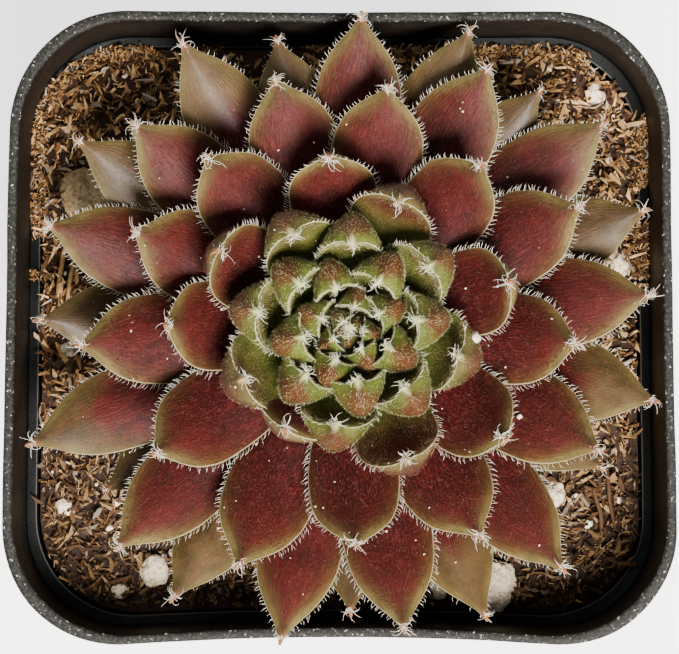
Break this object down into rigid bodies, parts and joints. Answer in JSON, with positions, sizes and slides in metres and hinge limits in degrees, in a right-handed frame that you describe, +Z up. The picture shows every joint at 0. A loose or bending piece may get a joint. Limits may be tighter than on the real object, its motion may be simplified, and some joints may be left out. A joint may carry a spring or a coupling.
{
  "type": "potted houseleek",
  "caption": "Hairy succulent rosette of pointed fleshy leaves, rooted in gritty soil in a small tapered square pot with a stepped collar.",
  "frame": {"origin": "middle of the pot's foot, on the surface that it stands on", "axes": "+Z up out of the pot, +X across it to the right in the picture, +Y towards the picture's upper edge"},
  "size_m": [0.0656, 0.0618, 0.0712],
  "materials": {
    "pot": "satin black, scuffed pale along the rim",
    "soil": "rough bark and coir chips",
    "leaf": "fleshy and finely hairy, green at the heart and deep red outside",
    "pumice": "rough, pale cream"
  },
  "bodies": {
    "root": {"pot": "pot", "soil": "soil", "rosette": "leaf", "pumice_1": "pumice", "pumice_2": "pumice", "pumice_3": "pumice", "pumice_4": "pumice", "pumice_5": "pumice", "pumice_6": "pumice", "pumice_7": "pumice", "pumice_8": "pumice", "pumice_9": "pumice", "pumice_10": "pumice"}
  },
  "joints": []
}
